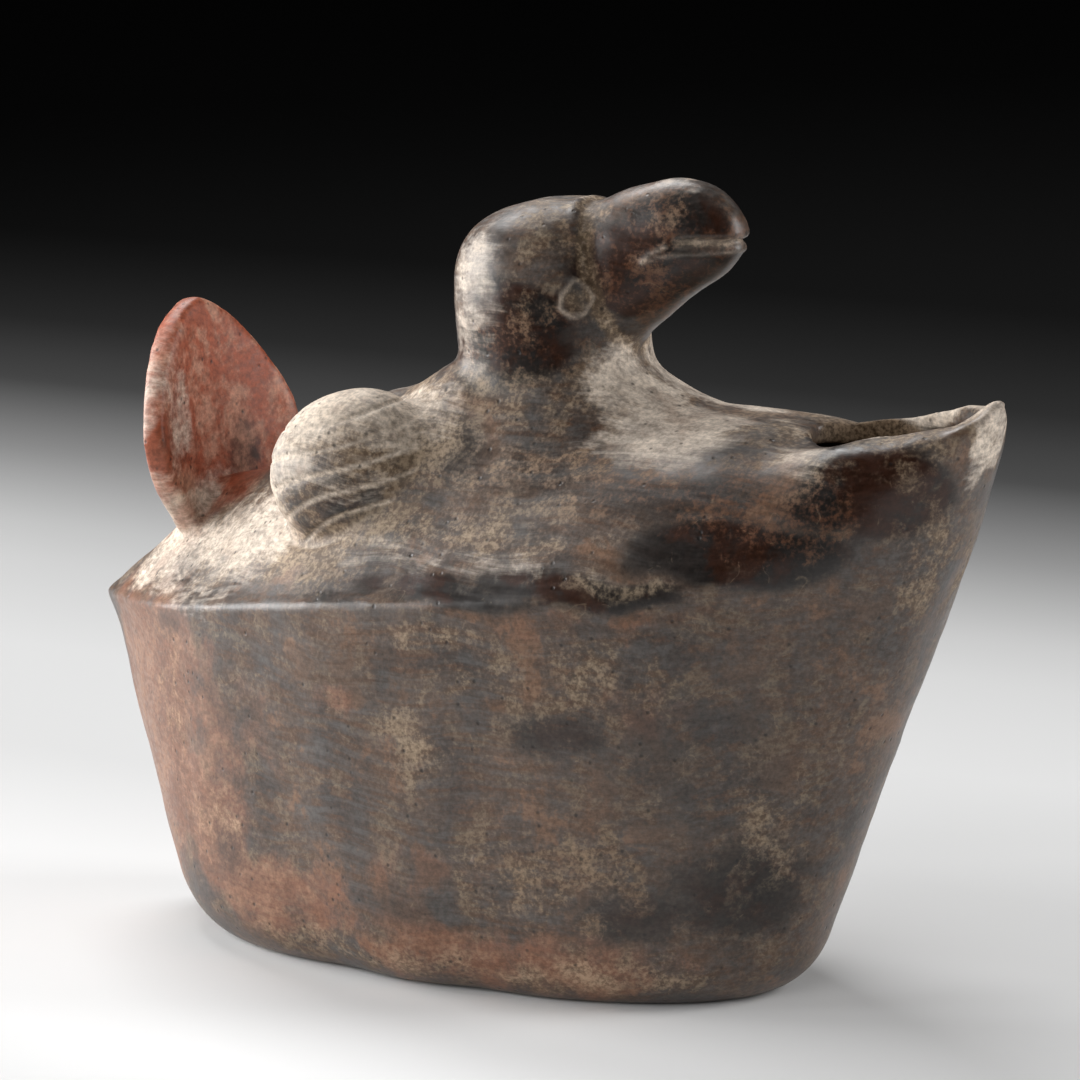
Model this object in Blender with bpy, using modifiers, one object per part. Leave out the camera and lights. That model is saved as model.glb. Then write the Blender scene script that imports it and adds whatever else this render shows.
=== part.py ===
"""Parrot effigy vessel: a hollow boat-shaped pot of burnished clay, with a pouring mouth in its prow.

The pot has a sharp shoulder all round, a parrot's head and neck on its back, two ribbed wings as
bulbs beside the neck and an upright tail like a cupped leaf. It is one piece of fired clay.
+X points to the prow, +Z up, and the origin is the centre of the flat underside.
"""

import math

import bmesh
import bpy
import numpy as np
from mathutils import Matrix, Vector

NAME = "parrot_vessel"

# The whole pot. Its outlines further down are drawn in millimetres for these three sizes, as a
# drawing that LENGTH, WIDTH and HEIGHT stretch.
LENGTH = 0.264
WIDTH = 0.118
HEIGHT = 0.199
DRAWN_LENGTH, DRAWN_WIDTH, DRAWN_HEIGHT = 264.0, 118.0, 199.0

# The clay. On the back it is measured upright, so it is thicker than the wall by a share.
WALL = 0.0045
BACK_SHARE = 1.2
FLOOR = 0.0065
REAR_TIP_CLAY = 0.009
HEAD_WALL = 0.0085
EDGE_SOFTNESS = 0.0018
FOOT_EDGE_RUN = 0.011
FOOT_EDGE_RISE = 0.014
BELOW_GROUND = 0.004  # the body starts this far down, and is cut off flat at the ground

# The mouth, an opening like a lens in the top of the prow.
MOUTH_LENGTH = 0.045
MOUTH_WIDTH = 0.029
MOUTH_CUT = 0.047  # how high its cutter stands

# The tail, seen from the front.
TAIL_HEIGHT = 0.0588
TAIL_WIDTH = 0.062
TAIL_CLAY = 0.0065
TAIL_CUP = 0.006

# The wings.
WING_LENGTH = 0.046
WING_WIDTH = 0.034
WING_HEIGHT = 0.040
WING_SPREAD = 0.062
RIB_COUNT = 24
RIB_DEPTH = 0.0011

# The head.
NECK_RADIUS = 0.0235
HEAD_RADIUS = 0.0250
BEAK_WIDTH = 0.026
EYE_LENGTH = 0.0096
EYE_WIDTH = 0.0078
EYE_CLAY = 0.0011
MOUTH_LINE_LENGTH = 0.021
MOUTH_LINE_DEPTH = 0.0022
MOUTH_LINE_GAP = 0.0014

# How finely the surface is cut into faces.
STATIONS_ROUND = 120
WING_RINGS = 12
GRAIN = 0.0013
FACES_KEPT = 0.0182

# Outlines, as (x, half width) from the prow to the rear. The foot's is where its wall would meet
# the ground if its edge weren't rounded.
FOOT_OUTLINE = ((91, 0), (89.5, 6), (84, 17), (72.5, 28), (51, 39), (20, 45.5), (-15, 46.5),
                (-45, 43.5), (-64, 36), (-75.5, 26), (-83, 13), (-86, 0))
SHOULDER_OUTLINE = ((136.3, 0), (135, 8.5), (130, 18), (120, 27), (105.5, 36), (90, 44.5),
                    (60, 55.5), (30, 59), (0, 59), (-30, 54.5), (-64, 43), (-86, 31.5),
                    (-103, 19), (-114, 9.5), (-121, 3.4), (-124, 0))
MOUTH_OUTLINE = ((1, 0), (0.83, 0.44), (0.6, 0.86), (0.34, 1), (0.15, 0.8), (0.04, 0.42), (0, 0))

# Heights along the pot, as (x, z): the shoulder's edge, and the crest of the back above it.
SHOULDER_HEIGHT = ((-124, 79), (-86, 85), (-64, 88.5), (-10, 97), (50, 103.5), (91, 109.5),
                   (116, 115), (126, 120), (136.3, 124))
CREST_HEIGHT = ((-124, 79.5), (-115, 86), (-99, 97), (-79, 110), (-49, 129), (-28, 141.5),
                (-8, 146), (20, 146), (45, 144.5), (65, 144), (83, 143.5), (92, 142.3), (102, 142.5),
                (112, 145.2), (121, 148.8), (128, 150.8), (136.3, 152.3))
# How the back falls from its crest to the shoulder, at places along the pot: 1 - q ** POWER to
# the power of ROOT, where q is the share of the half width.
BACK_POWER = ((-124, 1.3), (-60, 1.7), (0, 1.9), (60, 2.3), (90, 2.8), (116, 4), (136.3, 5))
BACK_ROOT = ((-124, 1.1), (-60, 1.35), (0, 1.2), (60, 0.85), (90, 0.62), (116, 0.42), (136.3, 0.35))
# Where the back swells up to the neck, the wings' front ends and the tail: centre x and y, the
# rise towards the prow, the sides and the rear, the radius it holds to, and how far it runs out.
SWELLS = (((20, 0), (10, 10, 8), 22, 22), ((101, -14), (-2.5, -2.5, -2.5), 3, 14), ((-2, 27), (7, 7, 3), 6, 20),
          ((-2, -27), (7, 7, 3), 6, 20), ((-89, 0), (6, 4, 2), 8, 18))

# The mouth's front end and where the tail stands, in the drawing.
MOUTH_PLACE = (138.5, 0, 149)
TAIL_PLACE = (-86.3, 0, 101)

# The wings' centre, how far their front ends turn inwards and rise, and their ribs' twist.
WING_PLACE = (-19.5, 0, 125.5)
WING_TOE_IN = -14
WING_TILT = -22
RIB_TWIST = -0.2

# The ball that the head's side follows at the eyes, and the eyes' bearing and rise from its centre.
EYE_BALL = (18, 0, 173)
EYE_ANGLES = (44, -5)
MOUTH_LINE_TIP = (72.7, 185.4)

# The tail's half width at shares of its height, from its foot.
TAIL_OUTLINE = ((0, 0.5), (0.08, 0.6), (0.15, 0.72), (0.29, 0.91), (0.43, 1), (0.54, 0.95),
                (0.66, 0.82), (0.8, 0.61), (0.9, 0.4), (0.97, 0.18), (1, 0.03))
TAIL_LEAN = 0.13

# How the wall leans out, as (share of the height, share of the overhang), at the prow, at the
# sides and at the rear.
PROW_LEAN = ((0, 0), (0.4, 0.39), (0.85, 0.855), (1, 1))
SIDE_LEAN = ((0, 0), (0.1, 0.14), (0.25, 0.4), (0.5, 0.68), (0.8, 0.9), (0.94, 0.97), (1, 1))
REAR_LEAN = ((0, 0), (0.12, 0.2), (0.2, 0.31), (0.32, 0.46), (0.5, 0.62), (0.7, 0.757),
             (0.87, 0.855), (0.95, 0.925), (1, 1))
# The prow goes on leaning out above the shoulder, this much for each unit up, from one x to another.
PROW_SLOPE = 0.26
PROW_FROM, PROW_TO = 60, 120
# The foot and the shoulder turn their corners over this much bearing, in radians, but the rear tip
# keeps its point, between two shares of the way round.
FOOT_EASE = 0.12
SHOULDER_EASE = 0.1
TIP_FROM, TIP_TO = 0.75, 0.87

# The neck and head, as (centre x, z, radius in shares of the neck's or the head's).
NECK_SECTIONS = ((20, 122, 1.05), (20, 138, 1.03), (19, 152, 1.02), (18.5, 160, 1.03))
HEAD_SECTIONS = ((18, 167, 0.98), (18, 173, 0.98), (18, 179, 0.93), (18.6, 184, 0.84),
                 (19.8, 188.2, 0.68), (21.6, 191, 0.48), (22.6, 192.6, 0.27))
# The beak's ovals, as (top x, top z, bottom x, bottom z, share of the width), from inside the head.
BEAK_SECTIONS = ((20, 184, 31, 154, 0.7), (27.5, 190.6, 40.2, 156, 0.98), (33, 193, 45.4, 160.3, 1.0),
                 (40, 195.7, 50.5, 164.5, 0.96), (47, 197.8, 55.5, 169, 0.89),
                 (54.5, 199.2, 61, 172.8, 0.8), (61.8, 198.5, 66, 176, 0.68),
                 (67.2, 195.6, 69.6, 179.2, 0.53), (71, 192, 72, 182.4, 0.36))


def smooth_curve(points):
    """A smooth curve through (place, value) pairs that never swings past them."""
    x, y = (np.array(column, float) for column in zip(*sorted(points)))
    step = np.diff(x)
    rise = np.diff(y) / step
    before, after = rise[:-1], rise[1:]
    turning = before * after <= 0
    total = np.where(turning, 1.0, before + after)
    slope = np.where(turning, 0.0, 2 * before * after / total)
    slope = np.concatenate([rise[:1], slope, rise[-1:]])

    def value(at):
        at = np.clip(np.asarray(at, float), x[0], x[-1])
        i = np.clip(np.searchsorted(x, at) - 1, 0, len(step) - 1)
        t = (at - x[i]) / step[i]
        rest = 1 - t
        ends = y[i] * (1 + 2 * t) * rest**2 + y[i + 1] * (1 + 2 * rest) * t**2
        return ends + step[i] * t * rest * (slope[i] * rest - slope[i + 1] * t)

    return value


def eased(curve, reach):
    """The same curve with its bends spread over a reach to each side."""
    return lambda at: sum(curve(np.asarray(at) + d) for d in np.linspace(-reach, reach, 9)) / 9


shoulder_height = smooth_curve(SHOULDER_HEIGHT)
crest_height = smooth_curve(CREST_HEIGHT)
back_power = smooth_curve(BACK_POWER)
back_root = smooth_curve(BACK_ROOT)
prow_lean = smooth_curve(PROW_LEAN)
side_lean = smooth_curve(SIDE_LEAN)
rear_lean = smooth_curve(REAR_LEAN)


def to_size(points):
    """Points of the drawing, in millimetres, at the pot's real size."""
    stretch = (LENGTH / DRAWN_LENGTH, WIDTH / DRAWN_WIDTH, HEIGHT / DRAWN_HEIGHT)
    return np.asarray(points, float) * stretch


def on_drawing(size, drawn, whole):
    """A real size in metres, in the drawing's millimetres along one of the pot's three sizes."""
    return size * drawn / whole


def ease_in(value, low, high):
    """From 0 at low to 1 at high, level at both."""
    share = np.clip((value - low) / (high - low), 0, 1)
    return share * share * (3 - 2 * share)


def polar_radius(outline):
    """The outline's distance from the origin, for each angle from the prow."""
    angles = [math.atan2(y, x) for x, y in outline]
    radii = [math.hypot(x, y) for x, y in outline]
    mirrored = [(-a, r) for a, r in zip(angles[1:4], radii[1:4])]
    past_rear = [(2 * math.pi - a, r) for a, r in zip(angles[-4:-1], radii[-4:-1])]
    return smooth_curve(mirrored + list(zip(angles, radii)) + past_rear)


def back_height(x, y, top, crest, q):
    """The back's height over a place in plan: its arch and the swells on it."""
    height = top + (crest - top) * (1 - q ** back_power(x)) ** back_root(x)
    for centre, (to_prow, to_side, to_rear), radius, run_out in SWELLS:
        away = np.hypot(x - centre[0], y - centre[1])
        along = (x - centre[0]) / np.maximum(away, 0.001)
        fore, aft = np.clip(along, 0, 1) ** 2, np.clip(-along, 0, 1) ** 2
        rise = fore * to_prow + aft * to_rear + (1 - fore - aft) * to_side
        share = np.clip(1 - np.maximum(away - radius, 0) / run_out, 0, 1)
        height = height + rise * share**1.6 * (1 - q**4)
    return height


def lean_out(angle, share):
    """The wall's share of the overhang, blended from the prow, the sides and the rear."""
    front = np.clip(np.cos(angle), 0, 1) ** 2
    rear = np.clip(-np.cos(angle), 0, 1) ** 2
    sides = 1 - front - rear
    return front * prow_lean(share) + sides * side_lean(share) + rear * rear_lean(share)


def body_points(inset, floor, tip_clay):
    """Rings of the body from its underside up the wall and over the back, in the drawing's units.

    The cavity is the same form, inset by the wall's thickness and above the floor.
    """
    angle = 2 * math.pi * np.arange(STATIONS_ROUND) / STATIONS_ROUND
    folded = np.minimum(angle, 2 * math.pi - angle)
    side = np.where(angle <= math.pi, 1.0, -1.0)
    foot = eased(polar_radius(FOOT_OUTLINE), FOOT_EASE)(folded) - inset
    at_tip = ease_in(folded / math.pi, TIP_FROM, TIP_TO)
    sharp = polar_radius(SHOULDER_OUTLINE)
    shoulder = sharp(folded) * at_tip + eased(sharp, SHOULDER_EASE)(folded) * (1 - at_tip)
    shoulder = shoulder - inset - tip_clay * at_tip
    shoulder_x, shoulder_y = shoulder * np.cos(folded), shoulder * np.sin(folded)
    top = shoulder_height(shoulder_x)
    crest = np.maximum(crest_height(shoulder_x), top + BACK_SHARE * inset)
    run = on_drawing(FOOT_EDGE_RUN, DRAWN_LENGTH, LENGTH)
    edge_rise = on_drawing(FOOT_EDGE_RISE, DRAWN_HEIGHT, HEIGHT)
    rings = []
    if floor < 0:
        under = foot - run
        rings.append(np.stack([under * np.cos(folded), side * under * np.sin(folded),
                               np.full_like(foot, floor)], axis=1))
        floor = 0
    for share in np.linspace(0, 1, 40) ** 2:
        z = floor + (top - floor) * share
        below = np.clip(1 - (z - floor) / edge_rise, 0, 1)
        rounding = run * (1 - np.sqrt(1 - below**2))
        reach = foot + (shoulder - foot) * lean_out(folded, z / top) - rounding
        rings.append(np.stack([reach * np.cos(folded), side * reach * np.sin(folded), z], axis=1))
    prow = PROW_SLOPE * ease_in(shoulder_x, PROW_FROM, PROW_TO)
    for q in np.sin(np.linspace(0.5 * math.pi, 0, 26)[1:]):
        across = side * q * shoulder_y
        height = back_height(shoulder_x, across, top, crest, q)
        height = np.maximum(height - BACK_SHARE * inset * (1 - q**4), top)
        points = [shoulder_x + prow * (height - top), across, height]
        rings.append(np.stack(points, axis=1))
    return rings


def skin(name, rings):
    """A closed mesh object through rings of points, with its two ends closed."""
    shell = bmesh.new()
    verts = [[shell.verts.new(p) for p in to_size(ring)] for ring in rings]
    count = len(verts[0])
    for lower, upper in zip(verts, verts[1:]):
        for i in range(count):
            j = (i + 1) % count
            shell.faces.new((lower[i], lower[j], upper[j], upper[i]))
    shell.faces.new(reversed(verts[0]))
    shell.faces.new(verts[-1])
    bmesh.ops.remove_doubles(shell, verts=shell.verts, dist=0.00002)
    bmesh.ops.triangulate(shell, faces=shell.faces)
    bmesh.ops.recalc_face_normals(shell, faces=shell.faces)
    return mesh_object(name, shell)


def mesh_object(name, shell):
    mesh = bpy.data.meshes.new(name)
    shell.to_mesh(mesh)
    shell.free()
    return bpy.data.objects.new(name, mesh)


def body(name, inset=0.0, floor=-BELOW_GROUND, tip_clay=0.0):
    """The body, or its cavity: what lies below zero is cut off flat later."""
    drawn_inset = on_drawing(inset, DRAWN_WIDTH, WIDTH)
    drawn_tip = on_drawing(tip_clay, DRAWN_LENGTH, LENGTH)
    drawn_floor = on_drawing(floor, DRAWN_HEIGHT, HEIGHT)
    return skin(name, body_points(drawn_inset, drawn_floor, drawn_tip))


def mouth_cutter():
    """A prism of the mouth's outline, leaning as the prow leans, from inside the cavity upwards."""
    length = on_drawing(MOUTH_LENGTH, DRAWN_LENGTH, LENGTH)
    half = on_drawing(MOUTH_WIDTH, DRAWN_WIDTH, WIDTH) / 2
    height = on_drawing(MOUTH_CUT, DRAWN_HEIGHT, HEIGHT)
    front_x, _, front_z = MOUTH_PLACE
    half_width = smooth_curve(MOUTH_OUTLINE)
    shares = (1 + np.cos(np.linspace(0, math.pi, 25))) / 2
    near = [(s, half_width(s)) for s in shares]
    far = [(s, -w) for s, w in reversed(near[1:-1])]
    rings = []
    for rise in (-0.45 * height, 0.0, 0.55 * height):
        ring = []
        for s, w in near + far:
            x = front_x - length * (1 - s) + PROW_SLOPE * rise * s
            ring.append((x, half * w, front_z + rise))
        rings.append(ring)
    return skin("mouth_opening", rings)


def neck_and_head(name, shrink=0.0):
    """Rings up the neck and over the crown, or the hollow inside them."""
    rings = []
    around = 2 * math.pi * np.arange(48) / 48
    sized = [(x, z, share * NECK_RADIUS) for x, z, share in NECK_SECTIONS]
    sized += [(x, z, share * HEAD_RADIUS) for x, z, share in HEAD_SECTIONS]
    for x, z, radius in sized:
        radius = max(radius - shrink, 0.0005)
        reach_x = on_drawing(radius, DRAWN_LENGTH, LENGTH)
        reach_y = on_drawing(radius, DRAWN_WIDTH, WIDTH)
        z -= on_drawing(shrink, DRAWN_HEIGHT, HEIGHT)
        height = np.full_like(around, z)
        rings.append(np.stack([x + reach_x * np.cos(around), reach_y * np.sin(around), height], 1))
    return skin(name, rings)


def beak():
    """Leaning oval sections from inside the head to the tip."""
    around = 2 * math.pi * np.arange(40) / 40
    half_width = on_drawing(BEAK_WIDTH, DRAWN_WIDTH, WIDTH) / 2
    rings = []
    for top_x, top_z, low_x, low_z, share in BEAK_SECTIONS:
        rise = (1 + np.sin(around)) / 2
        rings.append(np.stack([low_x + (top_x - low_x) * rise, half_width * share * np.cos(around),
                               low_z + (top_z - low_z) * rise], axis=1))
    tip = rings[-1].mean(axis=0)
    rings.append(tip + (rings[-1] - tip) * 0.35 + (1.2, 0, 0))
    return skin("beak", rings)


def wing(side):
    """A bulb with grooves that run from its front end to its rear end."""
    shell = bmesh.new()
    bmesh.ops.create_uvsphere(shell, u_segments=RIB_COUNT * 4, v_segments=WING_RINGS, radius=1.0)
    size = Vector((WING_LENGTH, WING_WIDTH, WING_HEIGHT)) / 2
    for vert in shell.verts:
        pole = vert.co.z
        across = math.hypot(vert.co.x, vert.co.y)
        turn = math.atan2(vert.co.y, vert.co.x)
        in_groove = math.cos(RIB_COUNT * turn) > 0.9
        inward = 1 - in_groove * min(1.0, 1.3 * across) * RIB_DEPTH / size.y
        spin = turn + RIB_TWIST * pole
        local = Vector((pole, across * math.cos(spin), across * math.sin(spin))) * inward
        vert.co = Vector(local[i] * size[i] for i in range(3))
    bmesh.ops.recalc_face_normals(shell, faces=shell.faces)
    centre = Vector(to_size(WING_PLACE))
    centre.y = side * WING_SPREAD / 2
    turned = Matrix.Rotation(side * math.radians(WING_TOE_IN), 4, "Z")
    tilted = Matrix.Rotation(math.radians(WING_TILT), 4, "Y")
    shell.transform(Matrix.Translation(centre) @ turned @ tilted)
    return mesh_object("wing_left" if side > 0 else "wing_right", shell)


def tail():
    """A leaf that stands across the pot, cupped towards the head, with an even thickness."""
    foot = Vector(to_size(TAIL_PLACE))
    half = TAIL_WIDTH / 2
    outline = smooth_curve(TAIL_OUTLINE)
    leaf = bmesh.new()
    rows = []
    for up in 1 - (1 - np.linspace(0, 1, 26)) ** 1.3:
        width = half * float(outline(up))
        row = []
        for across in np.linspace(-1, 1, 25):
            back = TAIL_CUP * (across * width / half) ** 2 - TAIL_LEAN * up * TAIL_HEIGHT
            row.append(leaf.verts.new(foot + Vector((back, across * width, up * TAIL_HEIGHT))))
        rows.append(row)
    for lower, upper in zip(rows, rows[1:]):
        for i in range(len(lower) - 1):
            leaf.faces.new((lower[i], lower[i + 1], upper[i + 1], upper[i]))
    bmesh.ops.recalc_face_normals(leaf, faces=leaf.faces)
    made = mesh_object("tail", leaf)
    thick = made.modifiers.new("clay", "SOLIDIFY")
    thick.thickness = TAIL_CLAY
    thick.offset = 0.0
    rounded = made.modifiers.new("rounded edge", "BEVEL")
    rounded.width = 0.3 * TAIL_CLAY
    rounded.segments = 2
    return made


def eye_ring(side):
    """A raised ring like a drop, which lies on the side of the head where the beak begins."""
    centre = Vector(to_size(EYE_BALL))
    bearing, rise = (math.radians(angle) for angle in EYE_ANGLES)
    out = Vector((math.cos(rise) * math.cos(bearing), math.cos(rise) * math.sin(bearing),
                  math.sin(rise)))
    ahead = out.cross(Vector((0, 0, 1))).normalized()
    up = ahead.cross(out)
    steps = 16
    middles = []
    for i in range(steps):
        turn = 2 * math.pi * i / steps
        wide = EYE_WIDTH / 2 * math.sin(turn) * (1 - 0.4 * math.cos(turn))
        long = EYE_LENGTH / 2 * math.cos(turn)
        middles.append(out * HEAD_RADIUS + ahead * (wide - 0.1 * long) + up * long)
    shell = bmesh.new()
    rows = []
    for middle in middles:
        middle = middle.normalized() * (HEAD_RADIUS - 0.2 * EYE_CLAY)
        outward = middle.normalized()
        inward = (out * HEAD_RADIUS - middle).normalized()
        row = []
        for k in range(6):
            turn = 2 * math.pi * k / 6
            point = centre + middle + EYE_CLAY * (math.cos(turn) * outward + math.sin(turn) * inward)
            row.append(shell.verts.new((point.x, side * point.y, point.z)))
        rows.append(row)
    for row, after in zip(rows, rows[1:] + rows[:1]):
        for k in range(6):
            shell.faces.new((row[k], row[k - 1], after[k - 1], after[k]))
    bmesh.ops.recalc_face_normals(shell, faces=shell.faces)
    return mesh_object("eye_left" if side > 0 else "eye_right", shell)


def mouth_line(side):
    """A cutter for the groove between the beak's halves, deepest at the tip."""
    length = on_drawing(MOUTH_LINE_LENGTH, DRAWN_LENGTH, LENGTH)
    depth = on_drawing(MOUTH_LINE_DEPTH, DRAWN_WIDTH, WIDTH)
    gap = on_drawing(MOUTH_LINE_GAP, DRAWN_HEIGHT, HEIGHT)
    half_beak = on_drawing(BEAK_WIDTH, DRAWN_WIDTH, WIDTH) / 2
    tip_x, tip_z = MOUTH_LINE_TIP
    surface = [((top_x + low_x) / 2, share) for top_x, _, low_x, _, share in BEAK_SECTIONS]
    share_at = smooth_curve(surface + [(tip_x, 0.12)])
    plan = []
    for step in np.linspace(0, 1, 7):
        x = tip_x - length * (1 - step)
        inside = depth * min(1.0, 2.5 * step)
        plan.append((x, half_beak * float(share_at(x)) - inside))
    plan += [(tip_x + 4, plan[-1][1]), (tip_x + 4, half_beak), (plan[0][0], 1.5 * half_beak)]
    rings = []
    for edge in (-0.5, 0.5):
        ring = []
        for x, y in plan:
            opening = gap * (0.6 + 0.4 * (x - tip_x + length) / length)
            ring.append((x, side * y, tip_z + 0.17 * (x - tip_x) + edge * opening))
        rings.append(ring)
    return skin("mouth_line_left" if side > 0 else "mouth_line_right", rings)


def mesh_box(name, size, centre):
    box = bmesh.new()
    bmesh.ops.create_cube(box, size=1.0)
    bmesh.ops.scale(box, vec=size, verts=box.verts)
    bmesh.ops.translate(box, vec=centre, verts=box.verts)
    return mesh_object(name, box)


def union(target, other):
    joined = target.modifiers.new("join " + other.name, "BOOLEAN")
    joined.operation = "UNION"
    joined.object = other


def cut(target, other):
    hollowed = target.modifiers.new("cut " + other.name, "BOOLEAN")
    hollowed.operation = "DIFFERENCE"
    hollowed.object = other


def burnished_clay():
    clay = bpy.data.materials.new("burnished_clay")
    clay.use_nodes = True
    shader = clay.node_tree.nodes["Principled BSDF"]
    shader.inputs["Base Color"].default_value = (0.085, 0.062, 0.05, 1)
    shader.inputs["Roughness"].default_value = 0.42
    shader.inputs["Metallic"].default_value = 0.0
    return clay


def main():
    for old in list(bpy.data.objects):
        bpy.data.objects.remove(old)
    vessel_parts = bpy.data.collections.new(NAME)
    shapes = bpy.data.collections.new("shapes_joined_or_cut")
    for made in (vessel_parts, shapes):
        bpy.context.scene.collection.children.link(made)

    vessel = body(NAME)
    vessel_parts.objects.link(vessel)
    joined = [neck_and_head("neck_and_head"), beak(), tail()]
    cavity = body("cavity", inset=WALL, floor=FLOOR, tip_clay=REAR_TIP_CLAY)
    head_hollow = neck_and_head("head_hollow", shrink=HEAD_WALL)
    cutters = [cavity, head_hollow, mouth_cutter()]
    for helper in joined + cutters:
        shapes.objects.link(helper)
    for piece in joined:
        union(vessel, piece)
    for piece in cutters:
        cut(vessel, piece)

    remesh = vessel.modifiers.new("even surface", "REMESH")
    remesh.mode = "VOXEL"
    remesh.voxel_size = GRAIN
    soft = vessel.modifiers.new("soft edges", "SMOOTH")
    soft.factor = 0.5
    soft.iterations = round((EDGE_SOFTNESS / GRAIN) ** 2 * 3)
    fewer = vessel.modifiers.new("fewer faces", "DECIMATE")
    fewer.ratio = FACES_KEPT
    wings = [wing(1), wing(-1)]
    middle_of_wall = body("middle_of_wall", inset=WALL / 2, floor=FLOOR)
    shapes.objects.link(middle_of_wall)
    for bulb in wings:
        cut(bulb, middle_of_wall)
    carved = wings + [eye_ring(1), eye_ring(-1)]
    mouth_lines = [mouth_line(1), mouth_line(-1)]
    ground = mesh_box("ground", (2 * LENGTH, 2 * LENGTH, HEIGHT), (0, 0, -HEIGHT / 2))
    for helper in carved + mouth_lines + [ground]:
        shapes.objects.link(helper)
    for helper in shapes.objects:
        helper.hide_render = True
        helper.display_type = "WIRE"
    for piece in carved:
        union(vessel, piece)
    for piece in mouth_lines + [ground]:
        cut(vessel, piece)
    vessel.data.materials.append(burnished_clay())
    vessel.data.shade_smooth()


main()
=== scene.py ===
"""Looks of the parrot effigy vessel: its clay as a fine mesh, its finish, and the photograph's camera.

The vessel is one piece of fired clay, so one mesh stands for it. Its lengths are in millimetres until
a mesh is made, with +X to the prow, +Y to the parrot's left and +Z up. Those of the floor, the lights
and the camera are in metres.
"""

import math

import bmesh
import bpy
import numpy as np
from mathutils import Matrix, Vector


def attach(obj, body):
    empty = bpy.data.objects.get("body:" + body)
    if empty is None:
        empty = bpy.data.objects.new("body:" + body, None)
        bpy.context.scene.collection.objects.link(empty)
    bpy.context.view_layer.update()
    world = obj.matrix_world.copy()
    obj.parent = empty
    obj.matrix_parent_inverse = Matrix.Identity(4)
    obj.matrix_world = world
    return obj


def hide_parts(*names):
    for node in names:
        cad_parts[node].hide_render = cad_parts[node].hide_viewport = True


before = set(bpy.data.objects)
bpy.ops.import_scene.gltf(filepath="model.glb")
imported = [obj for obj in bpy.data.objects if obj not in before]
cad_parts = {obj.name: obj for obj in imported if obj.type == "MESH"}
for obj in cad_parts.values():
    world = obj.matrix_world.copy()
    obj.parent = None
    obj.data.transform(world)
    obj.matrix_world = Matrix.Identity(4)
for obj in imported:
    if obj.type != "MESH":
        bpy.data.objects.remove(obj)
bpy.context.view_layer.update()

MM = 0.001

# The clay, as in the solid.
WALL = 4.5
FLOOR = 6.5
BACK_SHARE = 1.2
REAR_TIP_CLAY = 9.0
HEAD_WALL = 8.5
FOOT_EDGE_RUN = 11.0
FOOT_EDGE_RISE = 14.0
BELOW_GROUND = 4.0

# How finely the clay is meshed, and how far its edges are softened.
GRAIN = 0.8
EDGE_SOFTNESS = 1.7
STATIONS_ROUND = 240
MOST_TRIANGLES = 190000

# Outlines, as (x, half width) from the prow to the rear.
FOOT_OUTLINE = ((91, 0), (89.5, 6), (84, 17), (72.5, 28), (51, 39), (20, 45.5), (-15, 46.5),
                (-45, 43.5), (-64, 36), (-75.5, 26), (-83, 13), (-86, 0))
SHOULDER_OUTLINE = ((136.3, 0), (135, 8.5), (130, 18), (120, 27), (105.5, 36), (90, 44.5),
                    (60, 55.5), (30, 59), (0, 59), (-30, 54.5), (-64, 43), (-86, 31.5),
                    (-103, 19), (-114, 9.5), (-121, 3.4), (-124, 0))
MOUTH_OUTLINE = ((1, 0), (0.83, 0.44), (0.6, 0.86), (0.34, 1), (0.15, 0.8), (0.04, 0.42), (0, 0))
MOUTH_PLACE = (138.5, 0, 149)
MOUTH_LENGTH = 45.0
MOUTH_WIDTH = 29.0
MOUTH_CUT = 47.0

# Heights along the vessel, as (x, z): the shoulder's edge, and the crest of the back above it.
SHOULDER_HEIGHT = ((-124, 79), (-86, 85), (-64, 88.5), (-10, 97), (50, 103.5), (91, 109.5),
                   (116, 115), (126, 120), (136.3, 124))
CREST_HEIGHT = ((-124, 79.5), (-115, 86), (-99, 97), (-79, 110), (-49, 129), (-28, 141.5),
                (-8, 146), (20, 146), (45, 144.5), (65, 144), (83, 143.5), (92, 142.3), (102, 142.5),
                (112, 145.2), (121, 148.8), (128, 150.8), (136.3, 152.3))
# How the back falls from its crest to the shoulder, at places along the vessel.
BACK_POWER = ((-124, 1.3), (-60, 1.7), (0, 1.9), (60, 2.3), (90, 2.8), (116, 4), (136.3, 5))
BACK_ROOT = ((-124, 1.1), (-60, 1.35), (0, 1.2), (60, 0.85), (90, 0.62), (116, 0.42), (136.3, 0.35))
# Where the back swells: centre x and y, the rise towards the prow, the sides and the rear, the
# radius it holds to, and how far it runs out.
SWELLS = (((20, 0), (10, 10, 8), 22, 22), ((101, -14), (-2.5, -2.5, -2.5), 3, 14),
          ((-2, 27), (7, 7, 3), 6, 20), ((-2, -27), (7, 7, 3), 6, 20), ((-89, 0), (6, 4, 2), 8, 18))

# How the wall leans out, as (share of the height, share of the overhang).
PROW_LEAN = ((0, 0), (0.4, 0.39), (0.85, 0.855), (1, 1))
SIDE_LEAN = ((0, 0), (0.1, 0.14), (0.25, 0.4), (0.5, 0.68), (0.8, 0.9), (0.94, 0.97), (1, 1))
REAR_LEAN = ((0, 0), (0.12, 0.2), (0.2, 0.31), (0.32, 0.46), (0.5, 0.62), (0.7, 0.757),
             (0.87, 0.855), (0.95, 0.925), (1, 1))
PROW_SLOPE = 0.26
PROW_FROM, PROW_TO = 60, 120
FOOT_EASE = 0.12
SHOULDER_EASE = 0.1
TIP_FROM, TIP_TO = 0.75, 0.87

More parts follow.
